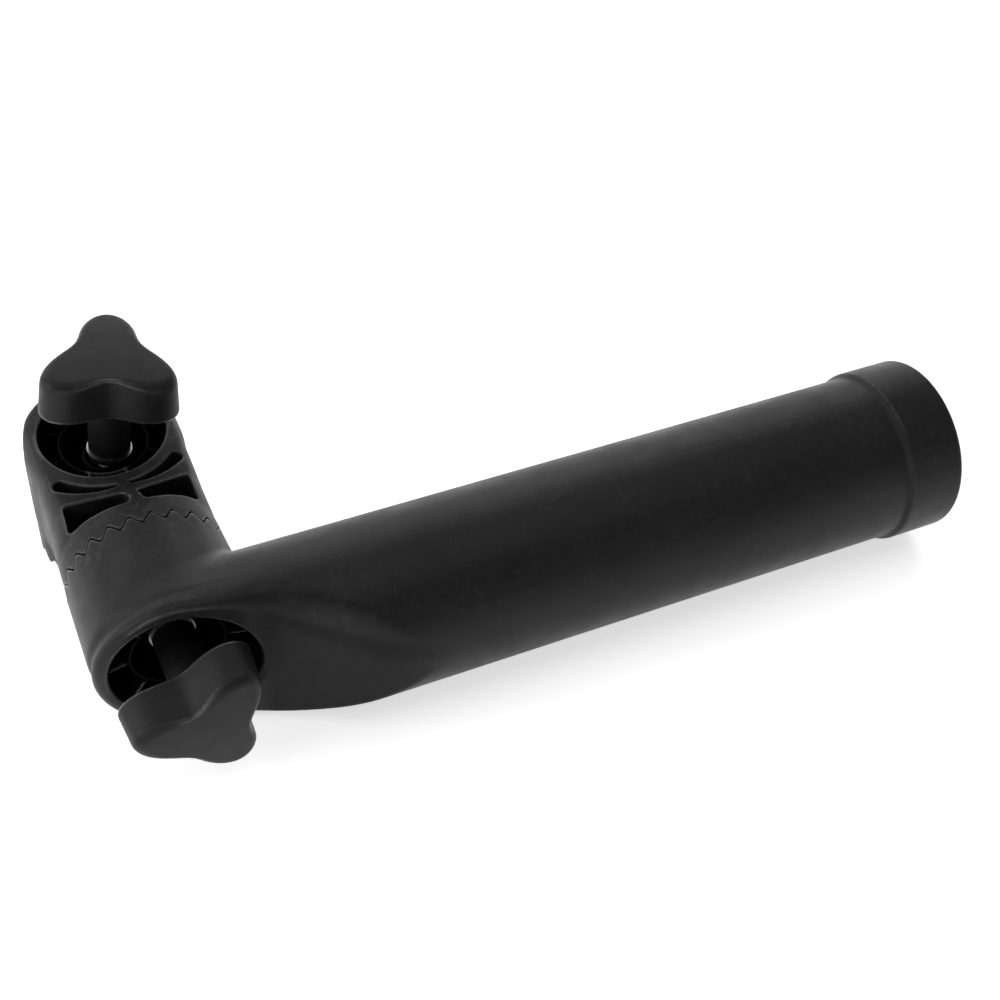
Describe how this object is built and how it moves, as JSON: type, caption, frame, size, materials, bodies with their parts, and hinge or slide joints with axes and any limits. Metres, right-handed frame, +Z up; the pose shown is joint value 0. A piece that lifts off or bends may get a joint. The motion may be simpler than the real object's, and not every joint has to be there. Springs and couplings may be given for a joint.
{
  "type": "adjustable rod holder",
  "caption": "Fishing-rod holder: plain round tube on a serrated tilt joint and a serrated swivel arm, each clamped by a three-lobe knob.",
  "frame": {"origin": "centre of the serrated swivel face under the arm, on the swivel axis", "axes": "+Z up along the swivel axis, +X along the rod tube towards its mouth, -Y along the arm from the swivel hub to the tilt joint"},
  "size_m": [0.2788, 0.1333, 0.0779],
  "materials": {
    "arm_plastic": "matte black glass-filled nylon, scuffed and slightly mottled",
    "tube_plastic": "satin black glass-filled nylon with a fine texture",
    "knob_plastic": "fine matte texture, black",
    "steel": "bright stainless steel",
    "brass": "machined brass",
    "nylon": "natural nylon"
  },
  "bodies": {
    "arm": {"swivel_arm": "arm_plastic", "tilt_nut": "brass"},
    "tilt_carriage": {"tilt_washer": "steel"},
    "tube": {"rod_tube": "tube_plastic"},
    "tilt_clamp": {"tilt_knob": "knob_plastic", "tilt_stud": "steel"},
    "swivel_rocker": {"swivel_washer": "steel"},
    "swivel_slide": {"swivel_retainer": "nylon"},
    "swivel_clamp": {"swivel_knob": "knob_plastic", "swivel_stud": "steel"}
  },
  "joints": [
    {"name": "tilt_release", "type": "slide", "parent": "arm", "child": "tilt_carriage", "axis": [0, -1, 0], "range_m": [0, 0.0034]},
    {"name": "tilt", "type": "hinge", "parent": "tilt_carriage", "child": "tube", "pos_m": [0, -0.0445, 0.026], "axis": [0, 1, 0], "continuous": true},
    {"name": "tilt_knob_turn", "type": "hinge", "parent": "tilt_carriage", "child": "tilt_clamp", "pos_m": [0, -0.09, 0.026], "axis": [0, -1, 0], "range_deg": [0, 980]},
    {"name": "swivel_rock", "type": "hinge", "parent": "arm", "child": "swivel_rocker", "pos_m": [0, 0, 0.02], "axis": [0, 1, 0], "range_deg": [-5.5, 0]},
    {"name": "swivel_lift", "type": "slide", "parent": "swivel_rocker", "child": "swivel_slide", "axis": [0.0958, 0, 0.9954], "range_m": [0, 0.003]},
    {"name": "swivel_knob_turn", "type": "hinge", "parent": "swivel_slide", "child": "swivel_clamp", "pos_m": [0, 0, 0.02], "axis": [0.0958, 0, 0.9954], "continuous": true}
  ],
  "couplings": [
    {"joint": "tilt_knob_turn", "follows": "tilt_release", "rad_per_m": 5026.5}
  ]
}
